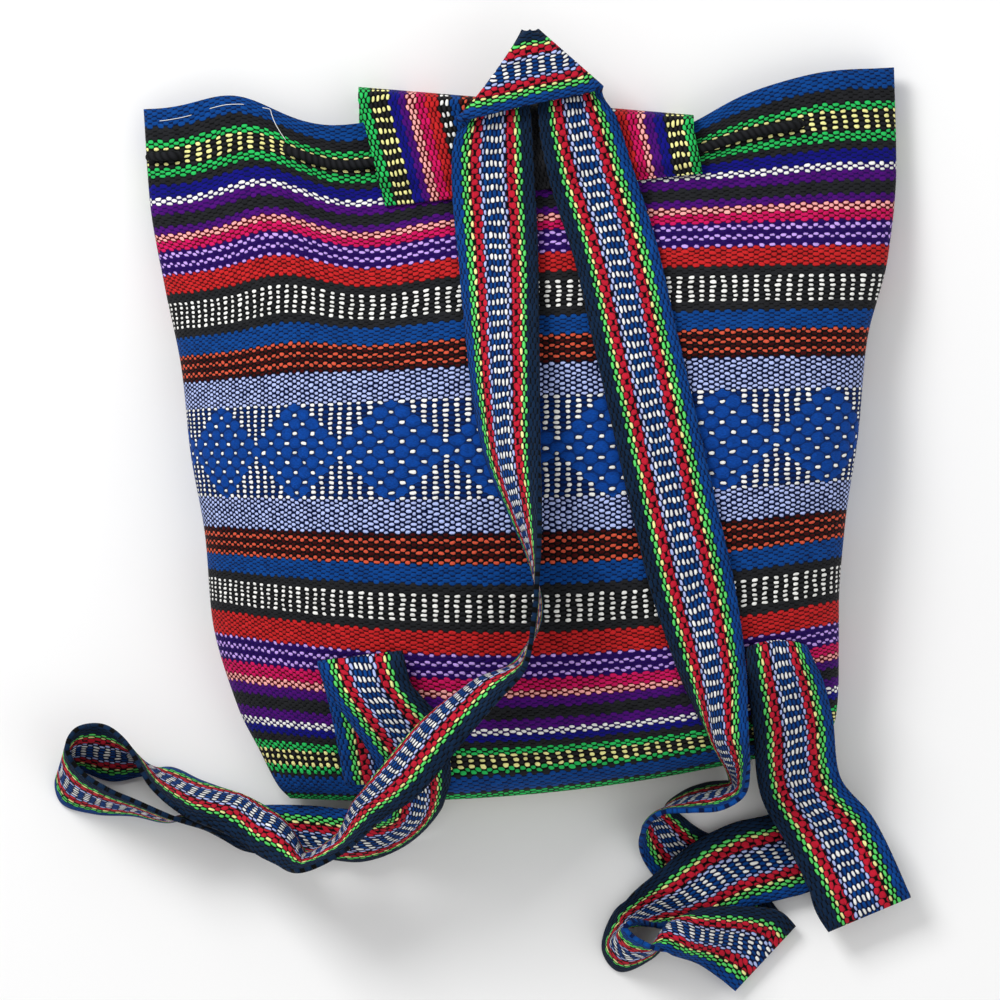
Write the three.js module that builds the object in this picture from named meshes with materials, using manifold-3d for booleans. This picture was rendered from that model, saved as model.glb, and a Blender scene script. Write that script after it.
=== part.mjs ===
// A striped woven drawstring backpack lying on its front, strap side up.
// Millimetres, +Z up, the floor at z = 0, +Y towards the mouth, +X to the right strap.
import * as THREE from "three";
import { mergeVertices } from "three/addons/utils/BufferGeometryUtils.js";
import Module from "manifold-3d";

const CLOTH = 1.8; // wall of the bag and of the flap
const BAND_THICK = 2.2; // shoulder strap
const CORD = 4.2; // drawstring diameter
const STRAP_GAP = 1.1; // clear space below the strap
const MOUTH_SAG_FRONT = 7; // the front layer's hem lies this much lower at the middle
const FRONT_DIP = { from: 0.27, to: 0.785, edge: 0.03, depth: 10 }; // more of it below the flap
const SIDE_POWER = 2.6; // roundness of the sides, 2 is an ellipse
const FLAT_FRONT = 0.55; // share of the width that lies flat on the floor
const BAG_ACROSS = 26; // facets across one panel
const BAG_ALONG = 18; // facets from mouth to fold

// One row per woven line of the back panel, from the mouth to the bottom fold.
// ends: warp threads below the mouth. xl, yl, xr, yr: where the line meets the side seams.
// sag: how far its middle hangs towards the bottom. top, seam, under: heights of back, seam and front.
const ROWS = [
  { line: "mouth", ends: 0, xl: -174, yl: 162, xr: 173, yr: 181, sag: 9, top: 21, seam: 10, under: 2.8 },
  { line: "white dots", ends: 37, xl: -171, yl: 119, xr: 174, yr: 136, sag: 1, top: 27, seam: 11, under: 2.8 },
  { line: "red", ends: 72, xl: -164, yl: 80, xr: 170, yr: 94, sag: -3, top: 39, seam: 15, under: 1.4 },
  { line: "brown", ends: 109, xl: -156, yl: 41, xr: 160, yr: 54, sag: -2.5, top: 52, seam: 18, under: 0 },
  { line: "diamonds", ends: 147, xl: -152, yl: 4, xr: 156, yr: 12, sag: 2, top: 61, seam: 21, under: 0 },
  { line: "low brown", ends: 185, xl: -145, yl: -36, xr: 150, yr: -28.5, sag: 7.5, top: 64, seam: 22, under: 0 },
  { line: "low red", ends: 222, xl: -142, yl: -72, xr: 147, yr: -68, sag: 12.5, top: 60, seam: 22, under: 0 },
  { line: "low dots", ends: 257, xl: -130, yl: -114, xr: 147, yr: -101, sag: 12.5, top: 50, seam: 20, under: 0 },
  { line: "low green", ends: 273, xl: -120, yl: -134, xr: 146, yr: -117, sag: 10, top: 42, seam: 19, under: 1 },
  { line: "turn", ends: 284, xl: -111, yl: -151, xr: 143, yr: -126, sag: 9.5, top: 31, seam: 18, under: 6 },
  { line: "fold", ends: 291, xl: -106, yl: -156, xr: 140, yr: -130, sag: 10, top: 18, seam: 18, under: 18 },
];
const FOLD_END = ROWS[ROWS.length - 1].ends;

// Loose folds that run down from the hem. at and wide are shares of the width.
// lean: how far the fold moves to the right on its way down. push: how far the cloth is drawn
// towards the mouth. lift: how far it stands up. reach: threads down. fade: power of its ending.
const FOLDS = [
  { at: 0.12, lean: 0.045, wide: 0.065, push: 8, lift: 3, reach: 125, fade: 2 },
  { at: 0.25, lean: 0.045, wide: 0.08, push: -5.5, lift: -2, reach: 115, fade: 2 },
  { at: 0.5, lean: 0, wide: 0.12, push: -5, lift: 0, reach: 37, fade: 1 },
  { at: 0.7, lean: 0, wide: 0.08, push: -15, lift: -0.5, reach: 37, fade: 1 },
  { at: 0.91, lean: 0, wide: 0.07, push: 3, lift: 2, reach: 60, fade: 1 },
];
const LEAN_LENGTH = 30; // threads in which a fold makes most of its lean

// The flap in plan: its seam on the back and the crest where it turns down over the mouth.
const FLAP = { seamLeft: [-62, 117], seamRight: [84, 132], crestLeft: [-74.5, 171.5], crestRight: [80, 158.5] };
const FLAP_TURN = 6; // how far the crest stands out from where the turn begins
const FLAP_UNDER = 38; // length that lies under the front
const FLAP_LIFT = 5.2; // room for the cord beneath it
const FLAP_SEAM_GAP = 0.9; // stand-off at the seam

// Drawstring: threads below the mouth, then shares of the width and the side of the cloth it is on.
const CORD_LINE = 19;
const CORD_STATIONS = [
  { at: 0.012, side: "out" },
  { at: 0.035, side: "out" },
  { at: 0.06, side: "in" },
  { at: 0.12, side: "in" },
  { at: 0.175, side: "in" },
  { at: 0.2, side: "out" },
  { at: 0.25, side: "out" },
  { at: 0.32, side: "out" },
  { at: 0.42, side: "out" },
  { at: 0.52, side: "out" },
  { at: 0.62, side: "out" },
  { at: 0.72, side: "out" },
  { at: 0.8, side: "out" },
  { at: 0.86, side: "out" },
  { at: 0.885, side: "in" },
  { at: 0.92, side: "in" },
];

// The shoulder strap as rungs across the band, from the left sewn tail round to the right one.
// on: "bag" heights are above the cloth below, "floor" heights are above the floor.
// Columns: bright edge x, y, height; dark edge x, y, height; bow of the band between its edges.
const STRAP = [
  { part: "left tail", on: "bag", rungs: [
    [-80.5, -149, 1.6, -42, -147, 1.6, 0],
    [-86, -118, 1.6, -47, -115, 1.6, 0],
    [-91, -98, 1.8, -52.5, -93, 1.8, 0],
  ] },
  { part: "left turn-over", on: "bag", rungs: [
    [-92.5, -93, 4.8, -53.5, -88, 4.8, 0],
    [-91.5, -97, 7.8, -52.5, -92, 7.8, 0],
    [-86, -108, 10, -50, -102, 7.6, 3],
    [-76, -122, 11, -47, -106, 8, 4],
    [-66, -138, 11, -37, -118, 8.5, 3],
  ] },
  { part: "left drop to the floor", on: "floor", rungs: [
    [-61, -153, 38, -32, -142, 45, 3],
    [-62, -161, 35, -38, -162, 18, 4],
    [-67, -163, 27, -54, -178, 1.6, 4],
    [-79, -161, 21, -73, -185, 1.6, 6],
    [-97, -160, 12, -94, -183, 1.6, 9],
    [-112, -160, 8, -110, -182, 1.6, 10],
    [-130, -161, 1.6, -128, -180, 9, 9],
    [-146, -161, 1.6, -145, -170, 25, 4],
  ] },
  { part: "left loop", on: "floor", rungs: [
    [-162, -167, 1.6, -160, -164, 39, 0],
    [-179, -164, 1.6, -176, -157, 39, 0],
    [-197, -163, 1.6, -190, -151, 36, 0],
    [-212, -158, 1.6, -203, -142, 34, 0],
    [-214, -147, 1.6, -208, -132, 36, 0],
    [-206, -143, 1.6, -204, -124, 34, 0],
    [-189, -148, 1.6, -193, -122, 29, 0],
    [-173, -145, 1.6, -182, -129, 35, 0],
    [-162, -143, 1.6, -169, -150, 38, 0],
    [-148, -149, 2, -154, -163, 36, -3],
    [-129, -156, 4, -135, -172, 31, -8],
    [-111, -165, 20, -117, -183, 38, -11],
    [-98, -181, 20, -101, -188, 57, -2],
    [-84, -173, 24, -81, -179, 61, -2],
    [-74, -157, 43, -63, -164, 70, -7],
  ] },
  { part: "left climb", on: "floor", rungs: [
    [-62, -140, 60, -47, -153, 79, -9],
    [-44, -120, 68, -29, -132, 87, -10],
    [-19, -103, 62, -9, -108, 92, -7],
  ] },
  { part: "left leg", on: "bag", rungs: [
    [-2, -92, 1.8, 2, -94, 38, 0],
    [9, -72, 1.8, 6, -72, 39, 0],
    [5, -48, 1.8, 8, -48, 39, 0],
    [-5, -24, 1.8, 9, -25, 36, -2],
    [-15, 0, 1.8, 9, -1, 28, -4],
    [-21, 28, 1.8, 9, 27, 18, -5],
    [-25, 62, 1.8, 8.5, 61, 10, -5],
    [-29, 100, 1.8, 8, 100, 4, -3],
    [-31.5, 132, 1.8, 6.5, 132, 1.8, 0],
  ] },
  { part: "peak", on: "floor", rungs: [
    [-30, 148, 36, 5.5, 152, 35.5, 0],
    [-26, 154, 36, 2.5, 189, 34, 0],
    [-29, 156, 39, 1.5, 197, 37, -3],
    [-25, 156, 42, 3, 196.5, 40, 0],
    [5, 163, 42.5, 4.5, 197.5, 40, 0],
    [33, 169, 42, 6, 196.5, 40, 0],
    [37.5, 171, 39, 8, 197, 37, 0],
    [37.5, 168, 36, 8, 190, 34, 0],
    [44, 158, 35.5, 8.8, 152, 35.5, 0],
  ] },
  { part: "right leg", on: "bag", rungs: [
    [51, 137, 1.8, 13.5, 128, 1.8, 0],
    [62, 102, 1.8, 24.5, 93, 1.8, 0],
    [71, 62, 1.8, 33.5, 53, 1.8, 0],
    [80, 22, 1.8, 42.5, 13, 1.8, 0],
    [89, -18, 1.8, 51.5, -27, 1.8, 0],
    [98, -58, 1.8, 61, -65, 1.8, 0],
    [103, -98, 9, 74, -100, 1.8, -6],
  ] },
  { part: "right heap", on: "floor", rungs: [
    [104, -124, 66, 88, -128, 41, -6],
    [104.5, -142, 51, 97, -146, 14, -2],
    [102, -154, 40, 96, -149, 3, 0],
    [92, -160, 39, 87, -150, 1.6, 0],
    [79, -161, 39, 76, -154, 1.6, 0],
    [65, -162, 38, 68, -161, 1.6, 0],
    [57, -171, 24, 75, -165, 1.6, -6],
    [57, -184, 6, 85, -172, 1.6, -3],
    [68, -201, 1.6, 99, -178, 1.6, 0],
    [82, -222, 1.6, 111, -196, 1.6, 0],
    [94, -239, 1.6, 122, -211, 1.6, 0],
    [99, -245, 5, 127, -215, 5, 0],
    [93, -240, 9, 121, -209, 10, 0],
    [82, -232, 14, 104, -206, 17, -3],
    [69, -227, 28, 79, -209, 20, -7],
    [59, -223, 37, 61, -230, 1.6, 0],
    [52, -219, 34, 46, -236, 1.6, 0],
    [48.5, -215, 33, 39, -227, 1.6, 0],
    [52, -212, 30, 43, -211, 3, -5],
    [68, -216, 6, 52, -201, 6, -3],
    [92, -213, 6, 63, -191, 9, 0],
    [109, -206, 6, 80, -177, 8, 0],
    [122, -203, 6, 98, -168, 6, 0],
    [137, -198, 6, 117, -163, 6, 0],
    [158, -176, 6, 121, -158, 6, 0],
    [161, -174, 9, 124, -156, 9, 0],
    [162, -178, 12, 127, -162, 12, 0],
    [172, -194, 12, 136, -207, 12, 0],
    [180, -201, 15, 142, -217, 15, 0],
    [178, -196, 18, 140, -212, 18, 0],
    [163, -165, 18, 125, -181, 18, 0],
    [148, -147, 25, 111, -155, 25, 0],
  ] },
  { part: "right tab", on: "bag", rungs: [
    [143, -118, 6.5, 107, -124, 6.5, 2],
    [138, -100, 6.5, 104.5, -104, 6.5, 3],
    [133, -90, 7, 103.5, -92, 7.2, 3],
    [131, -86, 4.4, 103.5, -87, 4.4, 3],
    [133, -90, 1.7, 104, -92, 1.7, 3],
    [138, -104, 1.7, 105, -107, 1.7, 2],
    [140, -116, 1.7, 106.5, -121, 1.7, 1],
  ] },
];
const BAND_STEPS = 1; // cross-sections added between two rungs
const BAND_ACROSS = 2; // facets across the band

// Monotone cubic through a table column, so flat stretches stay flat.
function column(key, ends) {
  let i = 0;
  while (i < ROWS.length - 2 && ends > ROWS[i + 1].ends) i += 1;
  const slope = (k) => (ROWS[k + 1][key] - ROWS[k][key]) / (ROWS[k + 1].ends - ROWS[k].ends);
  const tangent = (k) => {
    if (k === 0) return slope(0);
    if (k === ROWS.length - 1) return slope(k - 1);
    const a = slope(k - 1);
    const b = slope(k);
    return a * b <= 0 ? 0 : (2 * a * b) / (a + b);
  };
  const step = ROWS[i + 1].ends - ROWS[i].ends;
  const t = (ends - ROWS[i].ends) / step;
  const a = ROWS[i][key];
  const b = ROWS[i + 1][key];
  const t2 = t * t;
  const t3 = t2 * t;
  return (2 * t3 - 3 * t2 + 1) * a + (t3 - 2 * t2 + t) * step * tangent(i)
    + (3 * t2 - 2 * t3) * b + (t3 - t2) * step * tangent(i + 1);
}

// Sum of the loose folds at a share of the width and a thread below the mouth.
function loose(key, share, ends) {
  let sum = 0;
  for (const fold of FOLDS) {
    const fade = Math.max(0, 1 - (ends / fold.reach) ** fold.fade);
    const at = fold.at + fold.lean * (1 - Math.exp(-ends / LEAN_LENGTH));
    sum += fold[key] * fade * Math.exp(-(((share - at) / fold.wide) ** 2));
  }
  return sum;
}

// Height of the rounded section, 1 in the middle and 0 at the seams.
function crown(share) {
  const s = Math.min(1, Math.abs(2 * share - 1));
  return (1 - s ** SIDE_POWER) ** (1 / SIDE_POWER);
}

// Height of the front below the seam, exactly 1 where it lies flat.
function keel(share) {
  const s = Math.abs(2 * share - 1);
  if (s <= FLAT_FRONT) return 1;
  const t = Math.min(1, (s - FLAT_FRONT) / (1 - FLAT_FRONT));
  return Math.sqrt(Math.max(0, 1 - t ** 3));
}

// How far the flap draws the front layer's hem down.
function frontDip(share) {
  const ease = (t) => THREE.MathUtils.smoothstep(t / FRONT_DIP.edge, 0, 1);
  return FRONT_DIP.depth * ease(share - FRONT_DIP.from) * ease(FRONT_DIP.to - share);
}

// A point of the outer cloth: side is "back" or "front".
function clothPoint(side, share, ends) {
  const xl = column("xl", ends);
  const xr = column("xr", ends);
  const arch = 4 * share * (1 - share);
  const sag = column("sag", ends);
  let y = column("yl", ends) * (1 - share) + column("yr", ends) * share - sag * arch;
  const seam = column("seam", ends);
  let z;
  if (side === "back") {
    y += loose("push", share, ends);
    z = seam + (column("top", ends) - seam) * crown(share) + loose("lift", share, ends) * crown(share);
  } else {
    y += loose("push", share, ends) * (1 - arch) ** 2;
    y -= (MOUTH_SAG_FRONT * arch + frontDip(share)) * Math.max(0, 1 - ends / 40);
    z = seam - (seam - column("under", ends)) * keel(share);
  }
  return new THREE.Vector3(xl + (xr - xl) * share, y, z);
}

// Shares of the width, closer together at the seams.
function shareOf(i, count) {
  const even = i / count;
  return 0.35 * even + 0.65 * (0.5 - 0.5 * Math.cos(Math.PI * even));
}

// Height of the cloth's top at a plan position, or null off the bag.
function clothTop(x, y) {
  let low = 0;
  let high = FOLD_END;
  const at = (ends) => {
    const xl = column("xl", ends);
    const share = (x - xl) / (column("xr", ends) - xl);
    return { share, y: clothPoint("back", Math.min(1, Math.max(0, share)), ends).y };
  };
  if (y > at(low).y || y < at(high).y) return null;
  for (let i = 0; i < 26; i += 1) {
    const mid = (low + high) / 2;
    if (at(mid).y > y) low = mid;
    else high = mid;
  }
  const { share } = at(low);
  if (share < 0 || share > 1) return null;
  return { z: clothPoint("back", share, low).z, ends: low, share };
}

// How far the flap stands off the cloth: most over the cord, nothing at its seam.
function flapStandOff(ends) {
  const t = Math.min(1, Math.max(0, (37 - ends) / 12));
  return FLAP_SEAM_GAP + FLAP_LIFT * t * t * (3 - 2 * t);
}

// Top of whatever lies at a plan position: flap, cloth or nothing.
function groundTop(x, y) {
  let best = null;
  for (const [dx, dy] of [[0, 0], [0, 3], [3, 0], [-3, 0], [0, -3]]) {
    const hit = clothTop(x + dx, y + dy);
    if (!hit) continue;
    let z = hit.z;
    const inFlap = x > FLAP.crestLeft[0] - 4 && x < FLAP.seamRight[0] + 4 && hit.ends < 40;
    if (inFlap) z += flapStandOff(Math.min(37, hit.ends)) + CLOTH;
    best = best === null ? z : Math.max(best, z);
  }
  return best;
}

// A closed solid from a list of points and a list of quads or triangles.
function solid(points, faces) {
  const positions = new Float32Array(points.length * 3);
  points.forEach((p, i) => p.toArray(positions, i * 3));
  const index = [];
  for (const face of faces) {
    for (let k = 1; k + 1 < face.length; k += 1) index.push(face[0], face[k], face[k + 1]);
  }
  const geometry = new THREE.BufferGeometry();
  geometry.setAttribute("position", new THREE.BufferAttribute(positions, 3));
  geometry.setIndex(index);
  return mergeVertices(geometry, 1e-4);
}

// A sheet given by its middle surface, thickened to both sides and closed round its edges.
function sheet(grid, thick) {
  const across = grid[0].length - 1;
  const along = grid.length - 1;
  const points = [];
  for (const sign of [1, -1]) {
    for (let j = 0; j <= along; j += 1) {
      for (let i = 0; i <= across; i += 1) {
        const du = grid[j][Math.min(across, i + 1)].clone().sub(grid[j][Math.max(0, i - 1)]);
        const dv = grid[Math.min(along, j + 1)][i].clone().sub(grid[Math.max(0, j - 1)][i]);
        const normal = du.cross(dv).normalize();
        points.push(grid[j][i].clone().addScaledVector(normal, (sign * thick) / 2));
      }
    }
  }
  const n = (across + 1) * (along + 1);
  const id = (j, i) => j * (across + 1) + i;
  const faces = [];
  for (let j = 0; j < along; j += 1) {
    for (let i = 0; i < across; i += 1) {
      faces.push([id(j, i), id(j, i + 1), id(j + 1, i + 1), id(j + 1, i)]);
      faces.push([n + id(j, i), n + id(j + 1, i), n + id(j + 1, i + 1), n + id(j, i + 1)]);
    }
    faces.push([id(j, 0), id(j + 1, 0), n + id(j + 1, 0), n + id(j, 0)]);
    faces.push([id(j, across), n + id(j, across), n + id(j + 1, across), id(j + 1, across)]);
  }
  for (let i = 0; i < across; i += 1) {
    faces.push([id(0, i), n + id(0, i), n + id(0, i + 1), id(0, i + 1)]);
    faces.push([id(along, i), id(along, i + 1), n + id(along, i + 1), n + id(along, i)]);
  }
  return solid(points, faces);
}

// The bag: back and front panels share their vertices at the seams and the fold.
function bagBody() {
  const points = [];
  const key = (layer, side, j, i) => {
    const onEdge = i === 0 || i === BAG_ACROSS || j === BAG_ALONG;
    return layer + (onEdge ? "edge" : side) + j + "_" + i;
  };
  const ids = new Map();
  const rowEnds = (j) => {
    const even = j / BAG_ALONG;
    return FOLD_END * (0.25 * even + 0.75 * Math.sin((Math.PI / 2) * even ** 0.9));
  };
  const outer = (side, j, i) => clothPoint(side, shareOf(i, BAG_ACROSS), rowEnds(j));
  const normalAt = (side, j, i) => {
    const du = outer(side, j, Math.min(BAG_ACROSS, i + 1)).sub(outer(side, j, Math.max(0, i - 1)));
    const dv = outer(side, Math.min(BAG_ALONG, j + 1), i).sub(outer(side, Math.max(0, j - 1), i));
    const n = dv.cross(du);
    return side === "back" ? n.normalize() : n.negate().normalize();
  };
  for (const side of ["back", "front"]) {
    for (let j = 0; j <= BAG_ALONG; j += 1) {
      for (let i = 0; i <= BAG_ACROSS; i += 1) {
        const name = key("out", side, j, i);
        if (ids.has(name)) continue;
        const place = outer(side, j, i);
        const inward = normalAt(side, j, i);
        if (name.startsWith("outedge")) inward.add(normalAt("front", j, i)).normalize();
        ids.set(name, points.length);
        points.push(place);
        ids.set(key("in", side, j, i), points.length);
        points.push(place.clone().addScaledVector(inward, -CLOTH));
      }
    }
  }
  const faces = [];
  const quad = (layer, side, j, i) => [
    ids.get(key(layer, side, j, i)),
    ids.get(key(layer, side, j + 1, i)),
    ids.get(key(layer, side, j + 1, i + 1)),
    ids.get(key(layer, side, j, i + 1)),
  ];
  for (const side of ["back", "front"]) {
    for (let j = 0; j < BAG_ALONG; j += 1) {
      for (let i = 0; i < BAG_ACROSS; i += 1) {
        const out = quad("out", side, j, i);
        const inn = quad("in", side, j, i);
        faces.push(side === "back" ? out : out.reverse());
        faces.push(side === "back" ? inn.reverse() : inn);
      }
    }
    for (let i = 0; i < BAG_ACROSS; i += 1) {
      const rim = [
        ids.get(key("out", side, 0, i)),
        ids.get(key("out", side, 0, i + 1)),
        ids.get(key("in", side, 0, i + 1)),
        ids.get(key("in", side, 0, i)),
      ];
      faces.push(side === "back" ? rim : rim.reverse());
    }
  }
  return solid(points, faces);
}

// The flap: up the back, over the mouth and flat beneath the front.
function flapBody() {
  const across = 10;
  const climb = 10;
  const turn = 7;
  const under = 4;
  const mix = (a, b, t) => new THREE.Vector2(a[0] + (b[0] - a[0]) * t, a[1] + (b[1] - a[1]) * t);
  const grid = [];
  for (let j = 0; j <= climb + turn + under; j += 1) {
    const row = [];
    for (let i = 0; i <= across; i += 1) {
      const t = i / across;
      const seam = mix(FLAP.seamLeft, FLAP.seamRight, t);
      const crest = mix(FLAP.crestLeft, FLAP.crestRight, t);
      const start = crest.clone().sub(new THREE.Vector2(0, FLAP_TURN));
      const rest = CLOTH / 2 + 0.05;
      const topOf = (x, y) => {
        const hit = clothTop(x, y);
        if (hit) return hit.z + flapStandOff(hit.ends) + CLOTH / 2;
        return null;
      };
      let lip = topOf(start.x, start.y);
      for (let back = 1; lip === null; back += 1) lip = topOf(start.x, start.y - back);
      if (j <= climb) {
        const p = seam.clone().lerp(start, j / climb);
        const z = topOf(p.x, p.y);
        row.push(new THREE.Vector3(p.x, p.y, z === null ? lip : z));
      } else if (j <= climb + turn) {
        const angle = (Math.PI * (j - climb)) / turn;
        const reach = Math.abs(Math.sin(angle)) ** 0.6;
        const drop = (lip + rest) / 2 + ((lip - rest) / 2) * Math.cos(angle);
        row.push(new THREE.Vector3(start.x, start.y + FLAP_TURN * reach, drop));
      } else {
        const back = (FLAP_UNDER * (j - climb - turn)) / under;
        row.push(new THREE.Vector3(start.x, start.y - back, rest));
      }
    }
    grid.push(row);
  }
  return sheet(grid, CLOTH);
}

// Middle line of the drawstring: along the back in and out of the cloth, then home inside the front.
function cordCurve() {
  const route = [];
  const lift = CORD / 2 + 0.35;
  for (const { at, side } of CORD_STATIONS) {
    const p = clothPoint("back", at, CORD_LINE);
    const out = at < 0.02 ? p.clone().add(new THREE.Vector3(-lift, 0, 0)) : p.clone();
    if (at >= 0.02) out.z += side === "out" ? lift : -(CLOTH + lift);
    route.push(out);
  }
  for (const at of [0.955, 0.93, 0.8, 0.6, 0.4, 0.2, 0.07, 0.045]) {
    const p = clothPoint("front", at, CORD_LINE);
    p.z += CLOTH + lift;
    route.push(p);
  }
  return new THREE.CatmullRomCurve3(route, true, "centripetal");
}

function cordTube(diameter, steps) {
  const ring = new THREE.Shape();
  const sides = 8;
  for (let k = 0; k < sides; k += 1) {
    const angle = (2 * Math.PI * k) / sides;
    const x = (diameter / 2) * Math.cos(angle);
    const y = (diameter / 2) * Math.sin(angle);
    if (k === 0) ring.moveTo(x, y);
    else ring.lineTo(x, y);
  }
  return new THREE.ExtrudeGeometry(ring, { steps, extrudePath: cordCurve(), bevelEnabled: false });
}

// The strap's middle surface: the rungs smoothed along both edges, then bowed between them.
function strapGrid() {
  const bright = [];
  const dark = [];
  const bow = [];
  for (const { on, rungs } of STRAP) {
    for (const [bx, by, bz, dx, dy, dz, b] of rungs) {
      const lie = (x, y, h) => (on === "bag" ? (groundTop(x, y) ?? 0) + h : h);
      bright.push(new THREE.Vector3(bx, by, lie(bx, by, bz)));
      dark.push(new THREE.Vector3(dx, dy, lie(dx, dy, dz)));
      bow.push(b);
    }
  }
  const line = (list) => new THREE.CatmullRomCurve3(list, false, "centripetal");
  const brightLine = line(bright);
  const darkLine = line(dark);
  const count = (bright.length - 1) * (BAND_STEPS + 1);
  const grid = [];
  for (let j = 0; j <= count; j += 1) {
    const t = j / count;
    const a = brightLine.getPoint(t);
    const b = darkLine.getPoint(t);
    const k = Math.min(bright.length - 2, Math.floor(t * (bright.length - 1)));
    const bend = THREE.MathUtils.lerp(bow[k], bow[k + 1], t * (bright.length - 1) - k);
    const ahead = brightLine.getTangent(t).add(darkLine.getTangent(t));
    const rise = ahead.cross(b.clone().sub(a)).normalize();
    const row = [];
    for (let i = 0; i <= BAND_ACROSS; i += 1) {
      const s = i / BAND_ACROSS;
      const p = a.clone().lerp(b, s).addScaledVector(rise, 4 * bend * s * (1 - s));
      const least = groundTop(p.x, p.y);
      p.z = Math.max(p.z, BAND_THICK / 2 + 0.1, least === null ? 0 : least + BAND_THICK / 2 + STRAP_GAP);
      row.push(p);
    }
    grid.push(row);
  }
  return grid;
}

const wasm = await Module();
wasm.setup();
function manifold(geometry) {
  const bare = geometry.clone();
  bare.deleteAttribute("normal");
  bare.deleteAttribute("uv");
  const merged = mergeVertices(bare, 1e-4);
  const mesh = new wasm.Mesh({
    numProp: 3,
    vertProperties: merged.attributes.position.array,
    triVerts: new Uint32Array(merged.index.array),
  });
  return new wasm.Manifold(mesh);
}
function geometryOf(body) {
  const mesh = body.getMesh();
  const geometry = new THREE.BufferGeometry();
  geometry.setAttribute("position", new THREE.BufferAttribute(new Float32Array(mesh.vertProperties), 3));
  geometry.setIndex(new THREE.BufferAttribute(new Uint32Array(mesh.triVerts), 1));
  return geometry;
}

const CORD_CUT = CORD + 0.7; // slits in the cloth leave the cord a little room
const pieces = {
  bag_body: geometryOf(manifold(bagBody()).subtract(manifold(cordTube(CORD_CUT, 76)))),
  flap: flapBody(),
  drawstring: cordTube(CORD, 76),
  shoulder_strap: sheet(strapGrid(), BAND_THICK),
};
const colours = { bag_body: 0x23408c, flap: 0x8c2340, drawstring: 0x202024, shoulder_strap: 0x2a6a9c };

const root = new THREE.Group();
root.name = "woven_backpack";
for (const [name, geometry] of Object.entries(pieces)) {
  geometry.computeVertexNormals();
  const material = new THREE.MeshStandardMaterial({ color: colours[name], roughness: 0.9 });
  const mesh = new THREE.Mesh(geometry, material);
  mesh.name = name;
  root.add(mesh);
}
export default root;
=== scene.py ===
"""Striped woven drawstring backpack, lying on its front with the shoulder strap trailing."""

import bmesh
import bpy
import numpy as np
from bpy.props import FloatProperty, FloatVectorProperty, IntProperty, PointerProperty
from bpy.types import Operator, Panel, PropertyGroup
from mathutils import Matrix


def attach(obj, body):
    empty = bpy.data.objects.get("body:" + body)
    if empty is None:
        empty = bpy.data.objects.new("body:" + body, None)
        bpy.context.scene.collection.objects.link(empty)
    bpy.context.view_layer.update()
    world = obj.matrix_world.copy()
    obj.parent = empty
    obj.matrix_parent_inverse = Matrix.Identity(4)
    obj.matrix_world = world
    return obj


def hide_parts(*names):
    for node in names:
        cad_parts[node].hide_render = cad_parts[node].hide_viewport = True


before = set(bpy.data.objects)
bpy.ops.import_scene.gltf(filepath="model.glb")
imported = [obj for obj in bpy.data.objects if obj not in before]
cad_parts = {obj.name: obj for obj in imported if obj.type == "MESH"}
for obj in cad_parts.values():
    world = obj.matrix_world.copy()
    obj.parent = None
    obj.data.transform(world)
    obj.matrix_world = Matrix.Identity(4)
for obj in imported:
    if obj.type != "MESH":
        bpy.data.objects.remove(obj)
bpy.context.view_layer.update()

bl_info = {
    "name": "Woven backpack",
    "version": (1, 0, 0),
    "blender": (4, 5, 0),
    "location": "View3D > Sidebar > Backpack",
    "description": "Builds a striped woven backpack over its packed solids",
    "category": "Add Mesh",
}

MM = 0.001
PICTURE_CENTRE = (-9.2, -18.4)  # plan point under the middle of the picture, mm
PICTURE_WIDTH = 460.0  # mm across the picture at the cloth
PICTURE_LEVEL = 0.03  # height at which that width holds, m
SENSOR = 36.0  # width of the camera's sensor, mm
FLOOR_SIZE = 3.0  # half the floor's side, m
FLOOR_TONE = 0.92
SKY = 0.6
# Name, place, size and power of each light.
LIGHTS = (("key_light", (-1.1, 1.3, 1.5), 0.9, 34.0), ("fill_light", (1.3, -0.8, 1.7), 1.8, 8.0))

# One row per woven line of the back panel, from the mouth to the bottom fold: ends, then mm.
ROW_NAMES = ("ends", "xl", "yl", "xr", "yr", "sag", "top", "seam", "under")
ROWS = np.array([
    (0, -174, 162, 173, 181, 9, 21, 10, 2.8),
    (37, -171, 119, 174, 136, 1, 27, 11, 2.8),
    (72, -164, 80, 170, 94, -3, 39, 15, 1.4),
    (109, -156, 41, 160, 54, -2.5, 52, 18, 0),
    (147, -152, 4, 156, 12, 2, 61, 21, 0),
    (185, -145, -36, 150, -28.5, 7.5, 64, 22, 0),
    (222, -142, -72, 147, -68, 12.5, 60, 22, 0),
    (257, -130, -114, 147, -101, 12.5, 50, 20, 0),
    (273, -120, -134, 146, -117, 10, 42, 19, 1),
    (284, -111, -151, 143, -126, 9.5, 31, 18, 6),
    (291, -106, -156, 140, -130, 10, 18, 18, 18),
], float)
FOLD_END = 291.0
MOUTH_SAG_FRONT = 7.0
FRONT_DIP = (0.27, 0.785, 0.03, 10.0)  # from, to, edge as shares of the width, depth
CROWD = 0.75  # how much closer the picks lie at the left side seam
CROWD_SHARE = 0.33  # share of the width in which they crowd
CROWD_POWER = 2.5
CROWD_START = 40.0  # ends below the mouth where this starts; full after as many again
FRONT_HEM = 40.0  # ends over which the dip of the front's hem fades
SIDE_POWER = 2.6
FLAT_FRONT = 0.55

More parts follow.
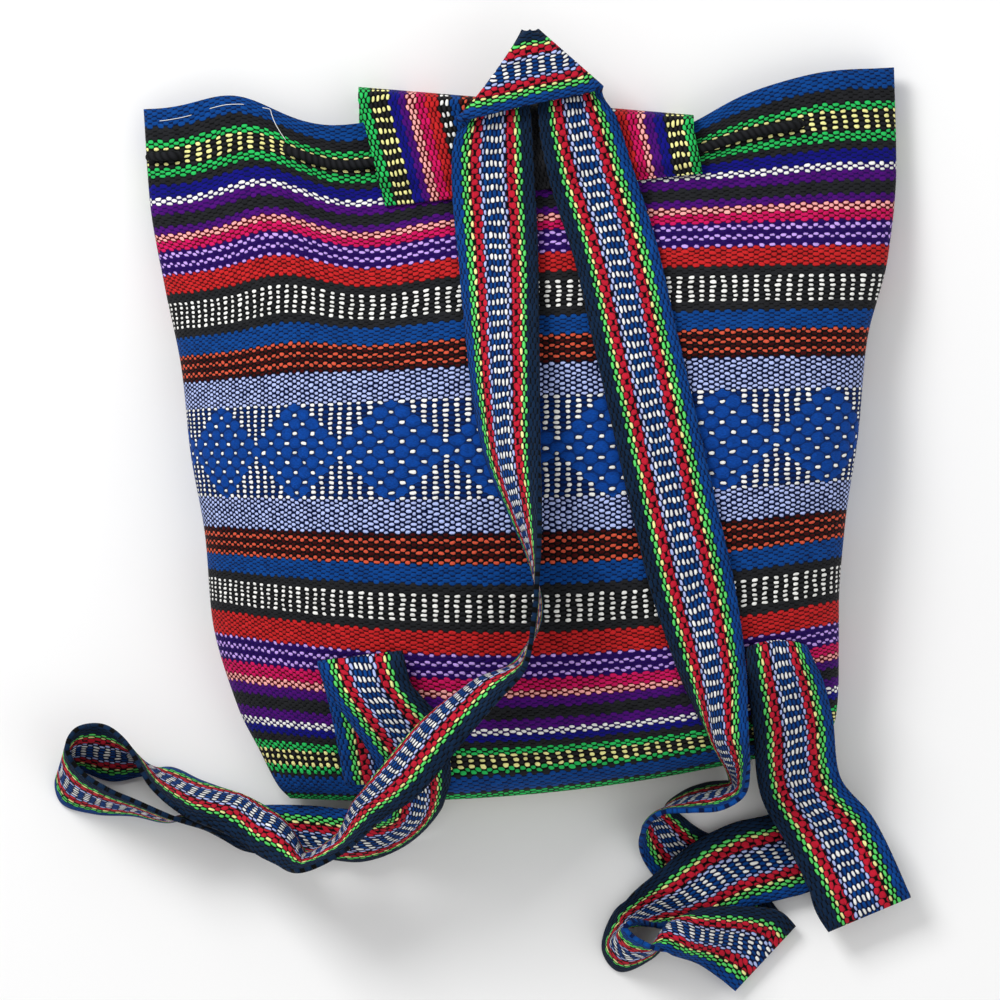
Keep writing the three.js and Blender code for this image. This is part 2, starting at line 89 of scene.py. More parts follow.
# Loose folds from the hem: place, lean and width as shares, push towards the mouth, lift, reach in
# threads, power of its ending.
FOLDS = (
    (0.12, 0.045, 0.065, 8, 3, 125, 2),
    (0.25, 0.045, 0.08, -5.5, -2, 115, 2),
    (0.5, 0, 0.12, -5, 0, 37, 1),
    (0.7, 0, 0.08, -15, -0.5, 37, 1),
    (0.91, 0, 0.07, 3, 2, 60, 1),
)
LEAN_LENGTH = 30.0
HALVINGS = 26  # steps of the search for the thread below a plan point

# The flap in plan: ends of its seam and of its crest, left and right.
FLAP_SEAM = ((-62, 117), (84, 132))
FLAP_CREST = ((-74.5, 171.5), (80, 158.5))
FLAP_TURN = 6.0
FLAP_UNDER = 38.0
FLAP_LIFT = 5.2
FLAP_SEAM_GAP = 0.9
FLAP_REST_GAP = 0.05  # between its lower end and the floor
FLAP_WIDTH = 157.0
FLAP_SEAM_ENDS = 37.0  # ends from the mouth to its seam
FLAP_RISE = 12.0  # ends over which it rises off the cloth
FLAP_BESIDE = 4.0  # mm past its sides where the strap still counts it
FLAP_BELOW = 3.0  # the same past its seam, ends
FLAP_CURVE = 0.6  # power of the turn at its crest, 1 is round
LIP_SEARCH = 20  # steps of 1 mm from the crest to the cloth's edge

# Drawstring: shares of the width and whether it runs outside the cloth there.
CORD_LINE = 19.0
CORD_GAP = 0.35  # between the cord and the cloth
CORD_SIDE = 0.02  # share of the width below which it goes round the side
CORD_BACK = (
    (0.012, 1), (0.035, 1), (0.06, 0), (0.12, 0), (0.175, 0), (0.2, 1), (0.25, 1), (0.32, 1),
    (0.42, 1), (0.52, 1), (0.62, 1), (0.72, 1), (0.8, 1), (0.86, 1), (0.885, 0), (0.92, 0),
)
CORD_FRONT = (0.955, 0.93, 0.8, 0.6, 0.4, 0.2, 0.07, 0.045)

# A pale sewing thread in the hem with a loose end: share of the width, ends, height over the cloth.
THREAD = (
    (0.02, 4.9, 0.3), (0.03, 4.8, 0.4), (0.05, 4.6, 0.4), (0.062, 4.5, 0.3), (0.066, 4.4, -0.8),
    (0.086, 4.1, -0.8), (0.09, 4.0, 0.3), (0.11, 3.8, 0.4), (0.132, 3.5, 0.3), (0.136, 3.4, -0.8),
    (0.155, 2.5, -0.8), (0.162, 1.8, 0.4), (0.169, 1.3, 0.9), (0.171, 4, 1.3), (0.175, 8, 1.5),
    (0.182, 12, 1.5), (0.188, 14.5, 1.0),
)
THREAD_RADIUS = 0.15

# Rungs of the strap, left sewn tail to right: bright edge x, y, height, dark edge x, y, height, bow.
# Heights are over the bag or over the floor.
STRAP = (
    ("bag", (
        (-80.5, -149, 1.6, -42, -147, 1.6, 0),
        (-86, -118, 1.6, -47, -115, 1.6, 0),
        (-91, -98, 1.8, -52.5, -93, 1.8, 0),
        (-92.5, -93, 4.8, -53.5, -88, 4.8, 0),
        (-91.5, -97, 7.8, -52.5, -92, 7.8, 0),
        (-86, -108, 10, -50, -102, 7.6, 3),
        (-76, -122, 11, -47, -106, 8, 4),
        (-66, -138, 11, -37, -118, 8.5, 3),
    )),
    ("floor", (
        (-61, -153, 38, -32, -142, 45, 3),
        (-62, -161, 35, -38, -162, 18, 4),
        (-67, -163, 27, -54, -178, 1.6, 4),
        (-79, -161, 21, -73, -185, 1.6, 6),
        (-97, -160, 12, -94, -183, 1.6, 9),
        (-112, -160, 8, -110, -182, 1.6, 10),
        (-130, -161, 1.6, -128, -180, 9, 9),
        (-146, -161, 1.6, -145, -170, 25, 4),
        (-162, -167, 1.6, -160, -164, 39, 0),
        (-179, -164, 1.6, -176, -157, 39, 0),
        (-197, -163, 1.6, -190, -151, 36, 0),
        (-212, -158, 1.6, -203, -142, 34, 0),
        (-214, -147, 1.6, -208, -132, 36, 0),
        (-206, -143, 1.6, -204, -124, 34, 0),
        (-189, -148, 1.6, -193, -122, 29, 0),
        (-173, -145, 1.6, -182, -129, 35, 0),
        (-162, -143, 1.6, -169, -150, 38, 0),
        (-148, -149, 2, -154, -163, 36, -3),
        (-129, -156, 4, -135, -172, 31, -8),
        (-111, -165, 20, -117, -183, 38, -11),
        (-98, -181, 20, -101, -188, 57, -2),
        (-84, -173, 24, -81, -179, 61, -2),
        (-74, -157, 43, -63, -164, 70, -7),
        (-62, -140, 60, -47, -153, 79, -9),
        (-44, -120, 68, -29, -132, 87, -10),
        (-19, -103, 62, -9, -108, 92, -7),
    )),
    ("bag", (
        (-2, -92, 1.8, 2, -94, 38, 0),
        (9, -72, 1.8, 6, -72, 39, 0),
        (5, -48, 1.8, 8, -48, 39, 0),
        (-5, -24, 1.8, 9, -25, 36, -2),
        (-15, 0, 1.8, 9, -1, 28, -4),
        (-21, 28, 1.8, 9, 27, 18, -5),
        (-25, 62, 1.8, 8.5, 61, 10, -5),
        (-29, 100, 1.8, 8, 100, 4, -3),
        (-31.5, 132, 1.8, 6.5, 132, 1.8, 0),
    )),
    ("floor", (
        (-30, 148, 36, 5.5, 152, 35.5, 0),
        (-26, 154, 36, 2.5, 189, 34, 0),
        (-29, 156, 39, 1.5, 197, 37, -3),
        (-25, 156, 42, 3, 196.5, 40, 0),
        (5, 163, 42.5, 4.5, 197.5, 40, 0),
        (33, 169, 42, 6, 196.5, 40, 0),
        (37.5, 171, 39, 8, 197, 37, 0),
        (37.5, 168, 36, 8, 190, 34, 0),
        (44, 158, 35.5, 8.8, 152, 35.5, 0),
    )),
    ("bag", (
        (51, 137, 1.8, 13.5, 128, 1.8, 0),
        (62, 102, 1.8, 24.5, 93, 1.8, 0),
        (71, 62, 1.8, 33.5, 53, 1.8, 0),
        (80, 22, 1.8, 42.5, 13, 1.8, 0),
        (89, -18, 1.8, 51.5, -27, 1.8, 0),
        (98, -58, 1.8, 61, -65, 1.8, 0),
        (103, -98, 9, 74, -100, 1.8, -6),
    )),
    ("floor", (
        (104, -124, 66, 88, -128, 41, -6),
        (104.5, -142, 51, 97, -146, 14, -2),
        (102, -154, 40, 96, -149, 3, 0),
        (92, -160, 39, 87, -150, 1.6, 0),
        (79, -161, 39, 76, -154, 1.6, 0),
        (65, -162, 38, 68, -161, 1.6, 0),
        (57, -171, 24, 75, -165, 1.6, -6),
        (57, -184, 6, 85, -172, 1.6, -3),
        (68, -201, 1.6, 99, -178, 1.6, 0),
        (82, -222, 1.6, 111, -196, 1.6, 0),
        (94, -239, 1.6, 122, -211, 1.6, 0),
        (99, -245, 5, 127, -215, 5, 0),
        (93, -240, 9, 121, -209, 10, 0),
        (82, -232, 14, 104, -206, 17, -3),
        (69, -227, 28, 79, -209, 20, -7),
        (59, -223, 37, 61, -230, 1.6, 0),
        (52, -219, 34, 46, -236, 1.6, 0),
        (48.5, -215, 33, 39, -227, 1.6, 0),
        (52, -212, 30, 43, -211, 3, -5),
        (68, -216, 6, 52, -201, 6, -3),
        (92, -213, 6, 63, -191, 9, 0),
        (109, -206, 6, 80, -177, 8, 0),
        (122, -203, 6, 98, -168, 6, 0),
        (137, -198, 6, 117, -163, 6, 0),
        (158, -176, 6, 121, -158, 6, 0),
        (161, -174, 9, 124, -156, 9, 0),
        (162, -178, 12, 127, -162, 12, 0),
        (172, -194, 12, 136, -207, 12, 0),
        (180, -201, 15, 142, -217, 15, 0),
        (178, -196, 18, 140, -212, 18, 0),
        (163, -165, 18, 125, -181, 18, 0),
        (148, -147, 25, 111, -155, 25, 0),
    )),
    ("bag", (
        (143, -118, 6.5, 107, -124, 6.5, 2),
        (138, -100, 6.5, 104.5, -104, 6.5, 3),
        (133, -90, 7, 103.5, -92, 7.2, 3),
        (131, -86, 4.4, 103.5, -87, 4.4, 3),
        (133, -90, 1.7, 104, -92, 1.7, 3),
        (138, -104, 1.7, 105, -107, 1.7, 2),
        (140, -116, 1.7, 106.5, -121, 1.7, 1),
    )),
)
STRAP_GAP = 1.1  # between the strap and what it lies on
FLOOR_GAP = 0.1
PROBES = ((0, 0), (0, 3), (3, 0), (-3, 0), (0, -3))  # plan offsets where the strap feels for it
STRAP_DRIFT = 150  # reach along the strap over which its picks even out, mm

# Faces of the meshes.
BAG_FACES = (150, 130)  # across and along one side
FLAP_FACES = (40, 40, 24, 16)  # across, then along its climb, its turn and its underside
STRAP_FACES = (14, 14)  # along from rung to rung, and across
CORD_FACES = (14, 12)  # from station to station, and round
THREAD_FACES = (6, 6)
EVEN_ACROSS = 0.25  # share of even spacing across the bag; the rest crowds to its sides
EVEN_ALONG = 0.3  # the same along it; the rest crowds to the bottom fold


def paint(red, green, blue):
    """Linear colour of an 8-bit sRGB one."""
    value = np.array([red, green, blue]) / 255.0
    linear = np.where(value <= 0.04045, value / 12.92, ((value + 0.055) / 1.055) ** 2.4)
    return tuple(float(part) for part in linear)


def yarn(name, text, red, green, blue):
    """A colour property of one yarn."""
    return FloatVectorProperty(
        name=name, description=text, subtype="COLOR", size=3, min=0.0, max=1.0,
        default=paint(red, green, blue))


def metres(name, text, default, low, high):
    """A length property, in metres."""
    return FloatProperty(name=name, description=text, unit="LENGTH", default=default, min=low, max=high)


class BackpackYarns(PropertyGroup):
    """Colours of the yarns."""

    blue: yarn("Hem blue", "Blue of the hem, the strap's edge and plain stripes", 8, 64, 134)
    royal: yarn("Brocade blue", "Blue of the diamonds", 8, 60, 138)
    deep: yarn("Dark blue", "Dark blue stripes", 16, 16, 118)
    navy: yarn("Navy", "Ground between pale threads", 4, 15, 50)
    slate: yarn("Slate", "Dark edge of the strap", 14, 36, 62)
    ink: yarn("Ink", "Shade between blue threads", 4, 20, 62)
    purple: yarn("Purple", "Purple stripes", 72, 10, 110)
    magenta: yarn("Magenta", "Magenta stripes", 200, 20, 90)
    maroon: yarn("Maroon", "Shade between red threads", 76, 0, 6)
    pink: yarn("Pink", "Pink stripes", 250, 170, 166)
    lilac: yarn("Lilac", "Pale threads on violet", 196, 160, 238)
    violet: yarn("Violet", "Ground of the lilac threads", 34, 6, 86)
    red: yarn("Red", "Red stripes", 190, 34, 36)
    crimson: yarn("Crimson", "Red of the strap", 190, 28, 50)
    black: yarn("Black", "Black stripes and the drawstring", 32, 33, 36)
    soot: yarn("Soot", "Shade between black threads", 5, 6, 7)
    white: yarn("White", "White threads", 240, 240, 236)
    brown: yarn("Brown", "Ground of the orange threads", 62, 10, 12)
    orange: yarn("Orange", "Orange threads", 208, 84, 60)
    lavender: yarn("Lavender", "Pale blue threads", 176, 190, 240)
    green: yarn("Green", "Green stripes", 40, 188, 92)
    lime: yarn("Lime", "Green lines of the strap", 92, 216, 104)
    yellow: yarn("Yellow", "Yellow threads", 242, 238, 156)


class BackpackSizes(PropertyGroup):
    """Sizes of the cloth, the strap and the cord."""

    cloth: metres("Cloth", "Wall of the bag and flap", 1.8 * MM, 0.001, 0.003)
    band: metres("Strap thickness", "Thickness of the strap", 2.2 * MM, 0.001, 0.004)
    band_width: metres("Strap width", "Flat width of the strap", 39 * MM, 0.02, 0.06)
    cord: metres("Drawstring", "Diameter of the drawstring", 4.2 * MM, 0.002, 0.006)
    end_pitch: metres("End pitch", "Distance between warp ends", 1.15 * MM, 0.0005, 0.003)
    bag_period: metres("Bag float", "Two picks of the bag's cloth", 5.06 * MM, 0.002, 0.01)
    band_period: metres("Strap float", "Two picks of the strap", 5.7 * MM, 0.002, 0.01)
    band_ends: IntProperty(name="Strap ends", description="Warp ends across the strap", default=37,
                           min=20, max=60)
    camera_height: metres("Camera height", "Height of the camera above the floor", 4.0, 1.0, 10.0)


# Stripes of the bag by distance from the middle of the diamonds, in ends: start, kind, one or two yarns,
# shade of the gaps.
# kind 0: one yarn. 1: every other end is the second yarn. 2: pairs of ends. 3: diamonds.
BAG_STRIPES = (
    (0, 3, "white", "royal", "ink"), (20, 0, "lavender", "navy", "navy"),
    (32, 2, "brown", "orange", "soot"), (44, 0, "blue", "ink"), (52, 0, "black", "soot"),
    (56, 1, "white", "black", "soot"), (67, 0, "black", "soot"), (71, 0, "red", "maroon"),
    (79, 2, "violet", "lilac", "violet"), (89, 0, "magenta", "maroon"), (93, 0, "pink", "maroon"),
    (96, 0, "purple", "violet"), (100, 0, "black", "soot"), (104, 0, "purple", "violet"),
    (108, 0, "white", "violet"), (111, 0, "deep", "ink"), (116, 0, "black", "soot"),
    (119, 0, "green", "soot"), (123, 1, "yellow", "black", "soot"), (131, 0, "green", "soot"),
    (135, 0, "black", "soot"), (140, 0, "blue", "ink"), (153, 0, "black", "soot"),
    (154, 0, "green", "soot"),
)
# Below the diamonds the stripes lie a little further on: row past which they shift, by how many ends.
LOWER_SHIFTS = ((221.5, -2), (240.5, -1), (248.5, -1), (263.5, 2), (269.5, 1))
DIAMOND_ROWS = (147.0, 424.0)  # middle rows of the diamonds on the back and the front
DIAMOND_CENTRE = 0.0105  # from the middle of the bag to the middle of a diamond, m
BAG_SPAN = 160.0  # ends that the table covers
PLAIN_LIMIT = 149.0  # last end for rows away from the bottom fold
TURN_ROW = 283.0  # middle of the blue stripe at the bottom fold
TURN_ENDS = 6.5  # ends on each side of it that take their stripes from TURN_START on
TURN_START = 150.0
# Stripes of the flap by distance from its nearer side edge, in ends.
FLAP_STRIPES = (
    (0, 0, "green", "soot"), (4, 1, "yellow", "black", "soot"), (12, 0, "deep", "ink"),
    (16, 0, "purple", "violet"), (20, 0, "pink", "maroon"), (23, 0, "magenta", "maroon"),
    (27, 0, "red", "maroon"), (32, 1, "white", "black", "soot"), (37, 0, "blue", "ink"),
    (41, 2, "brown", "orange", "soot"), (51, 0, "black", "soot"),
)
FLAP_SPAN = 80.0
# Stripes of the strap from its bright edge to its dark edge, in ends; kind 4 has floats two ends wide.
STRAP_STRIPES = (
    (0, 0, "blue", "ink"), (5, 0, "lime", "soot"), (7, 0, "yellow", "soot"), (8, 4, "crimson", "soot"),
    (12, 0, "lavender", "navy"), (14, 1, "white", "blue", "ink"), (22, 0, "lavender", "navy"),
    (24, 4, "crimson", "soot"), (28, 0, "yellow", "soot"), (29, 0, "lime", "soot"),
    (31, 0, "slate", "soot"),
)
STRAP_SPARE = 3  # ends that the table covers beyond the strap's own
# Factor on the radius of a stripe's floats, by its first yarn: below 1 they are fuller.
CLOSE = {"red": 0.66, "magenta": 0.66, "crimson": 0.85, "blue": 0.55, "deep": 0.5, "purple": 0.55,
         "black": 0.5, "slate": 0.55, "green": 0.85, "lavender": 1.2, "violet": 1.1, "brown": 1.05}
LAST_KIND = 4.0
MATCH = 0.3  # how far two whole numbers may differ and still be the same

# Half sizes of the floats in their cells: plain ones, those two ends wide and those of the diamonds.
FLOAT = {"Wide": 0.5, "Tall": 0.66}
PAIR_FLOAT = {"Wide": 0.52, "Tall": 0.72}
BIG_FLOAT = {"Wide": 0.7, "Tall": 0.62}
OVAL = 2.6  # power of a float's outline, 2 is an ellipse
GAP = (0.62, 1.12)  # radius where the gap beside a float starts and where it is full
TWIST = (1.2, 2.2, 5.5)  # slant of a float's plies along and across it, and how many there are
WANDER = (0.5, 1.2)  # how far floats wander along, in floats, and across, in ends
WANDER_SCALE, WANDER_STRETCH = 0.22, 3.0
FIBRE_SCALE, FIBRE_STRETCH = 2.4, 1.6
SIZE_CHANGE, SIZE_MOST = -0.4, 1.2  # factor on a float's radius, 1.2 to 0.8 by chance
EDGE_FIBRE, BIG_EDGE_FIBRE = 0.5, 0.3  # how rough the fibres make the outline of a float
SHADE_LEAST = 0.78
# A float's tone: a random tint by chance, painted shade along its plies and a painted highlight on its raised
# crown.
SHADE_CHANCE, PLY_SHADING, CROWN_HIGHLIGHT = 0.26, 0.05, 0.12  # what lightens a float, and how much
SHADE_FIBRE, BIG_SHADE_FIBRE = 0.5, 1.2
SUNK = 0.6  # how dark the blue ends beside the diamonds are
CLOTH_DEPTH, STRAP_DEPTH, CORD_DEPTH = 0.55, 0.7, 0.6  # depth of the relief, mm
DEPTH_TWIST, DEPTH_FIBRE = 0.07, 0.3
DIAMOND_PICKS, DIAMOND_ENDS = 10.0, 20.0  # half sizes of a diamond
DIAMOND_REACH = 1.12  # how much of them it fills
PICK_SHIFT = 2000.0  # keeps the count of picks above 0
BIG_SWELL, BIG_LIFT, BIG_GAP = 1.2, 0.3, 0.6  # height and gap of the diamonds' floats
PLY_ALONG, PLY_ROUND = 2.1, 12.566  # turn of the cord's plies, radians a mm and once round
# Painted shade in the grooves between the cord's plies.
PLY_GROOVE_SHADE = 0.3  # tone between the plies


# Shapes of the cloth. All lengths in mm; ends count warp threads below the mouth.

def column(name, ends):
    """Smooth value of one column of ROWS, flat where the rows are flat."""
    place = ROWS[:, 0]
    value = ROWS[:, ROW_NAMES.index(name)]
    slope = np.diff(value) / np.diff(place)
    tangent = np.empty(len(value))
    tangent[0] = slope[0]
    tangent[-1] = slope[-1]
    for row in range(1, len(value) - 1):
        a, b = slope[row - 1], slope[row]
        tangent[row] = 0.0 if a * b <= 0 else 2 * a * b / (a + b)
    ends = np.asarray(ends, float)
    low = np.clip(np.searchsorted(place, ends, side="left") - 1, 0, len(place) - 2)
    step = place[low + 1] - place[low]
    t = (ends - place[low]) / step
    t2 = t * t
    t3 = t2 * t
    return ((2 * t3 - 3 * t2 + 1) * value[low] + (t3 - 2 * t2 + t) * step * tangent[low]
            + (3 * t2 - 2 * t3) * value[low + 1] + (t3 - t2) * step * tangent[low + 1])


def loose(which, share, ends):
    """Sum of the loose folds, their push or their lift."""
    total = np.zeros_like(share)
    for place, lean, wide, push, lift, reach, power in FOLDS:
        fade = np.maximum(0, 1 - (ends / reach) ** power)
        at = place + lean * (1 - np.exp(-ends / LEAN_LENGTH))
        total += (push if which == "push" else lift) * fade * np.exp(-(((share - at) / wide) ** 2))
    return total


def front_dip(share):
    """How far the flap draws the front layer's hem down."""
    start, end, edge, depth = FRONT_DIP
    up = np.clip((share - start) / edge, 0, 1)
    down = np.clip((end - share) / edge, 0, 1)
    return depth * up * up * (3 - 2 * up) * down * down * (3 - 2 * down)


def cloth_point(side, share, ends):
    """Points of the outer cloth of the back or the front."""
    share, ends = np.broadcast_arrays(np.asarray(share, float), np.asarray(ends, float))
    spread = np.abs(2 * share - 1)
    arch = 4 * share * (1 - share)
    xl = column("xl", ends)
    xr = column("xr", ends)
    seam = column("seam", ends)
    sag = column("sag", ends)
    push = loose("push", share, ends)
    if side == "back":
        crown = np.maximum(0, 1 - np.minimum(1, spread) ** SIDE_POWER) ** (1 / SIDE_POWER)
        z = seam + (column("top", ends) - seam + loose("lift", share, ends)) * crown
    else:
        hem = np.maximum(0, 1 - ends / FRONT_HEM)
        push = push * (1 - arch) ** 2 - (MOUTH_SAG_FRONT * arch + front_dip(share)) * hem
        bend = np.clip((spread - FLAT_FRONT) / (1 - FLAT_FRONT), 0, 1)
        z = seam - (seam - column("under", ends)) * np.sqrt(np.maximum(0, 1 - bend ** 3))
    y = column("yl", ends) * (1 - share) + column("yr", ends) * share - sag * arch + push
    return np.stack([xl + (xr - xl) * share, y, z], axis=-1)


def cloth_under(x, y):
    """Height of the cloth's top, thread and a mask of the plan points over the bag."""
    x, y = np.broadcast_arrays(np.asarray(x, float), np.asarray(y, float))

    def at(ends):
        xl = column("xl", ends)
        share = (x - xl) / (column("xr", ends) - xl)
        return share, cloth_point("back", np.clip(share, 0, 1), ends)[..., 1]

    low = np.zeros_like(x)
    high = np.full_like(x, FOLD_END)
    inside = (y <= at(low)[1]) & (y >= at(high)[1])
    for _ in range(HALVINGS):
        middle = (low + high) / 2
        above = at(middle)[1] > y
        low = np.where(above, middle, low)
        high = np.where(above, high, middle)
    share = at(low)[0]
    inside &= (share >= 0) & (share <= 1)
    return cloth_point("back", np.clip(share, 0, 1), low)[..., 2], low, inside


def flap_stand_off(ends):
    """How far the flap stands off the cloth: most over the cord, least at its seam."""
    t = np.clip((FLAP_SEAM_ENDS - ends) / FLAP_RISE, 0, 1)
    return FLAP_SEAM_GAP + FLAP_LIFT * t * t * (3 - 2 * t)


def ground_top(x, y, cloth):
    """Top of what lies at plan points, flap or cloth, minus infinity off the bag."""
    best = np.full(np.shape(x), -np.inf)
    beside = (x > FLAP_CREST[0][0] - FLAP_BESIDE) & (x < FLAP_SEAM[1][0] + FLAP_BESIDE)
    for dx, dy in PROBES:
        z, ends, inside = cloth_under(x + dx, y + dy)
        flap = beside & (ends < FLAP_SEAM_ENDS + FLAP_BELOW)
        z = z + np.where(flap, flap_stand_off(np.minimum(FLAP_SEAM_ENDS, ends)) + cloth, 0)
        best = np.where(inside, np.maximum(best, z), best)
    return best


def smooth_line(points, count, closed=False):
    """Centripetal spline through points, count steps between neighbours, never looping."""
    points = np.asarray(points, float)
    if closed:
        padded = np.vstack([points[-1], points, points[0], points[1]])
    else:
        padded = np.vstack([2 * points[0] - points[1], points, 2 * points[-1] - points[-2]])
    line = []
    for k in range(1, len(padded) - 2):
        p0, p1, p2, p3 = padded[k - 1:k + 3]
        d01 = max(np.linalg.norm(p1 - p0) ** 0.5, 1e-4)
        d12 = max(np.linalg.norm(p2 - p1) ** 0.5, 1e-4)
        d23 = max(np.linalg.norm(p3 - p2) ** 0.5, 1e-4)
        m1 = ((p1 - p0) / d01 - (p2 - p0) / (d01 + d12) + (p2 - p1) / d12) * d12
        m2 = ((p2 - p1) / d12 - (p3 - p1) / (d12 + d23) + (p3 - p2) / d23) * d12
        t = np.arange(count)[:, None] / count
        line.append((2 * t ** 3 - 3 * t ** 2 + 1) * p1 + (t ** 3 - 2 * t ** 2 + t) * m1
                    + (3 * t ** 2 - 2 * t ** 3) * p2 + (t ** 3 - t ** 2) * m2)
    if not closed:
        line.append(points[-1:])
    return np.vstack(line)


def running_length(points):
    """Length along a row of points, from 0."""
    return np.concatenate([[0], np.cumsum(np.linalg.norm(np.diff(points, axis=0), axis=1))])


def woven_length(points, window):
    """Length along each column of a band, without the slow drift between its edges."""
    columns = np.array([running_length(points[:, i]) for i in range(points.shape[1])]).T
    mean = columns.mean(axis=1)
    even = np.arange(0.0, mean[-1] + 1.0)
    slow = np.empty_like(columns)
    for i in range(points.shape[1]):
        drift = np.interp(even, mean, columns[:, i] - mean)
        drift = np.pad(drift, window, mode="edge")
        total = np.concatenate([[0], np.cumsum(drift)])
        smooth = (total[2 * window + 1:] - total[:-2 * window - 1]) / (2 * window + 1)
        slow[:, i] = np.interp(mean, even, smooth)
    return columns - slow


def strap_surface(sizes, steps, across):
    """Points of the strap's middle surface, row by row."""
    cloth = sizes.cloth / MM
    thick = sizes.band / MM
    bright, dark, bow = [], [], []
    for on, rungs in STRAP:
        for bx, by, bz, dx, dy, dz, bend in rungs:
            if on == "bag":
                ground = ground_top(np.array([bx, dx], float), np.array([by, dy], float), cloth)
                ground = np.where(np.isfinite(ground), ground, 0)
                bz, dz = bz + ground[0], dz + ground[1]
            bright.append((bx, by, bz))
            dark.append((dx, dy, dz))
            bow.append(bend)
    bright = smooth_line(bright, steps)
    dark = smooth_line(dark, steps)
    bend = np.interp(np.arange(len(bright)) / steps, np.arange(len(bow)), bow)
    ahead = np.gradient(bright, axis=0) + np.gradient(dark, axis=0)
    rise = np.cross(ahead, dark - bright)
    rise /= np.maximum(np.linalg.norm(rise, axis=1, keepdims=True), 1e-6)
    s = np.linspace(0, 1, across + 1)[None, :, None]
    points = bright[:, None] * (1 - s) + dark[:, None] * s
    points += rise[:, None] * (4 * bend[:, None, None] * s * (1 - s))
    least = ground_top(points[..., 0], points[..., 1], cloth)
    least = np.where(np.isfinite(least), least + STRAP_GAP, FLOOR_GAP) + thick / 2
    points[..., 2] = np.maximum(points[..., 2], np.maximum(least, thick / 2 + FLOOR_GAP))
    return points


def flap_surface(cloth, across, climb, turn, under):
    """Points of the flap's middle surface, from its seam on the back to its edge below."""
    t = np.linspace(0, 1, across + 1)
    seam = np.outer(1 - t, FLAP_SEAM[0]) + np.outer(t, FLAP_SEAM[1])
    start = np.outer(1 - t, FLAP_CREST[0]) + np.outer(t, FLAP_CREST[1]) - (0, FLAP_TURN)
    rest = cloth / 2 + FLAP_REST_GAP

    def top(plan):
        z, ends, inside = cloth_under(plan[:, 0], plan[:, 1])
        return z + flap_stand_off(ends) + cloth / 2, inside

    lip, found = top(start)
    for back in range(1, LIP_SEARCH):
        z, inside = top(start - (0, back))
        lip = np.where(found | ~inside, lip, z)
        found |= inside
    rows = []
    for j in range(climb + 1):
        plan = seam + (start - seam) * (j / climb)
        z, inside = top(plan)
        rows.append(np.column_stack([plan, np.where(inside, z, lip)]))
    for j in range(1, turn + 1):
        angle = np.pi * j / turn
        reach = FLAP_TURN * abs(np.sin(angle)) ** FLAP_CURVE
        drop = (lip + rest) / 2 + (lip - rest) / 2 * np.cos(angle)
        rows.append(np.column_stack([start[:, 0], start[:, 1] + reach, drop]))
    for j in range(1, under + 1):
        back = FLAP_UNDER * j / under
        rows.append(np.column_stack([start[:, 0], start[:, 1] - back, np.full(across + 1, rest)]))
    return np.array(rows)


def cord_line(sizes):
    """Middle line of the drawstring, a closed loop."""
    cloth = sizes.cloth / MM
    lift = sizes.cord / MM / 2 + CORD_GAP
    route = []
    for share, outside in CORD_BACK:
        p = cloth_point("back", share, CORD_LINE)
        if share < CORD_SIDE:
            p = p + (-lift, 0, 0)
        else:
            p = p + (0, 0, lift if outside else -(cloth + lift))
        route.append(p)
    for share in CORD_FRONT:
        route.append(cloth_point("front", share, CORD_LINE) + (0, 0, cloth + lift))
    return smooth_line(route, CORD_FACES[0], closed=True)


# Mesh and material helpers.

def link_new(name, data):
    """A new object in the scene."""
    made = bpy.data.objects.new(name, data)
    bpy.context.scene.collection.objects.link(made)
    return made


def woven_grid(name, points, along, across, close=False):
    """A grid with its vertices at points, in mm, and its UV map of length along and place across."""
    rows, width = points.shape[:2]
    mesh = bpy.data.meshes.new(name)
    bm = bmesh.new()
    bmesh.ops.create_grid(bm, x_segments=width - 1, y_segments=rows - 1, size=1.0)
    uv = bm.loops.layers.uv.new("weave")
    bm.verts.ensure_lookup_table()
    seat = {}
    for vert in bm.verts:
        i = round((vert.co.x + 1) / 2 * (width - 1))
        j = round((vert.co.y + 1) / 2 * (rows - 1))
        seat[vert.index] = (j, i)
    for face in bm.faces:
        for loop in face.loops:
            j, i = seat[loop.vert.index]
            loop[uv].uv = (along[j, i], across[j, i])
        face.smooth = True
    for vert in bm.verts:
        vert.co = points[seat[vert.index]] * MM
    if close:
        bmesh.ops.remove_doubles(bm, verts=bm.verts, dist=1e-6)
    bm.normal_update()
    bm.to_mesh(mesh)
    bm.free()
    return link_new(name, mesh)


def strand(name, line, radius, sides, closed):
    """A round strand along a line, closed to a loop or pointed at both ends."""
    if closed:
        ahead = np.roll(line, -1, axis=0) - np.roll(line, 1, axis=0)
    else:
        ahead = np.gradient(line, axis=0)
    ahead /= np.linalg.norm(ahead, axis=1, keepdims=True)
    level = np.cross(ahead, (0, 0, 1))
    level /= np.linalg.norm(level, axis=1, keepdims=True)
    upright = np.cross(level, ahead)
    angle = np.linspace(0, 2 * np.pi, sides + 1)[None, :, None]
    thick = np.full((len(line), 1, 1), radius)
    if not closed:
        thick[0] = thick[-1] = 0.0
    points = line[:, None] + (np.cos(angle) * level[:, None] + np.sin(angle) * upright[:, None]) * thick
    if closed:
        points = np.concatenate([points, points[:1]])
        line = np.vstack([line, line[:1]])
    along = np.repeat(running_length(line)[:, None], sides + 1, axis=1)
    turns = np.repeat(np.linspace(0, 1, sides + 1)[None, :], len(points), axis=0)
    return woven_grid(name, points, along, turns, close=True)


def thicken(piece, thickness, offset):
    """A wall from a sheet."""
    wall = piece.modifiers.new("wall", "SOLIDIFY")
    wall.thickness = thickness
    wall.offset = offset
    wall.use_quality_normals = True


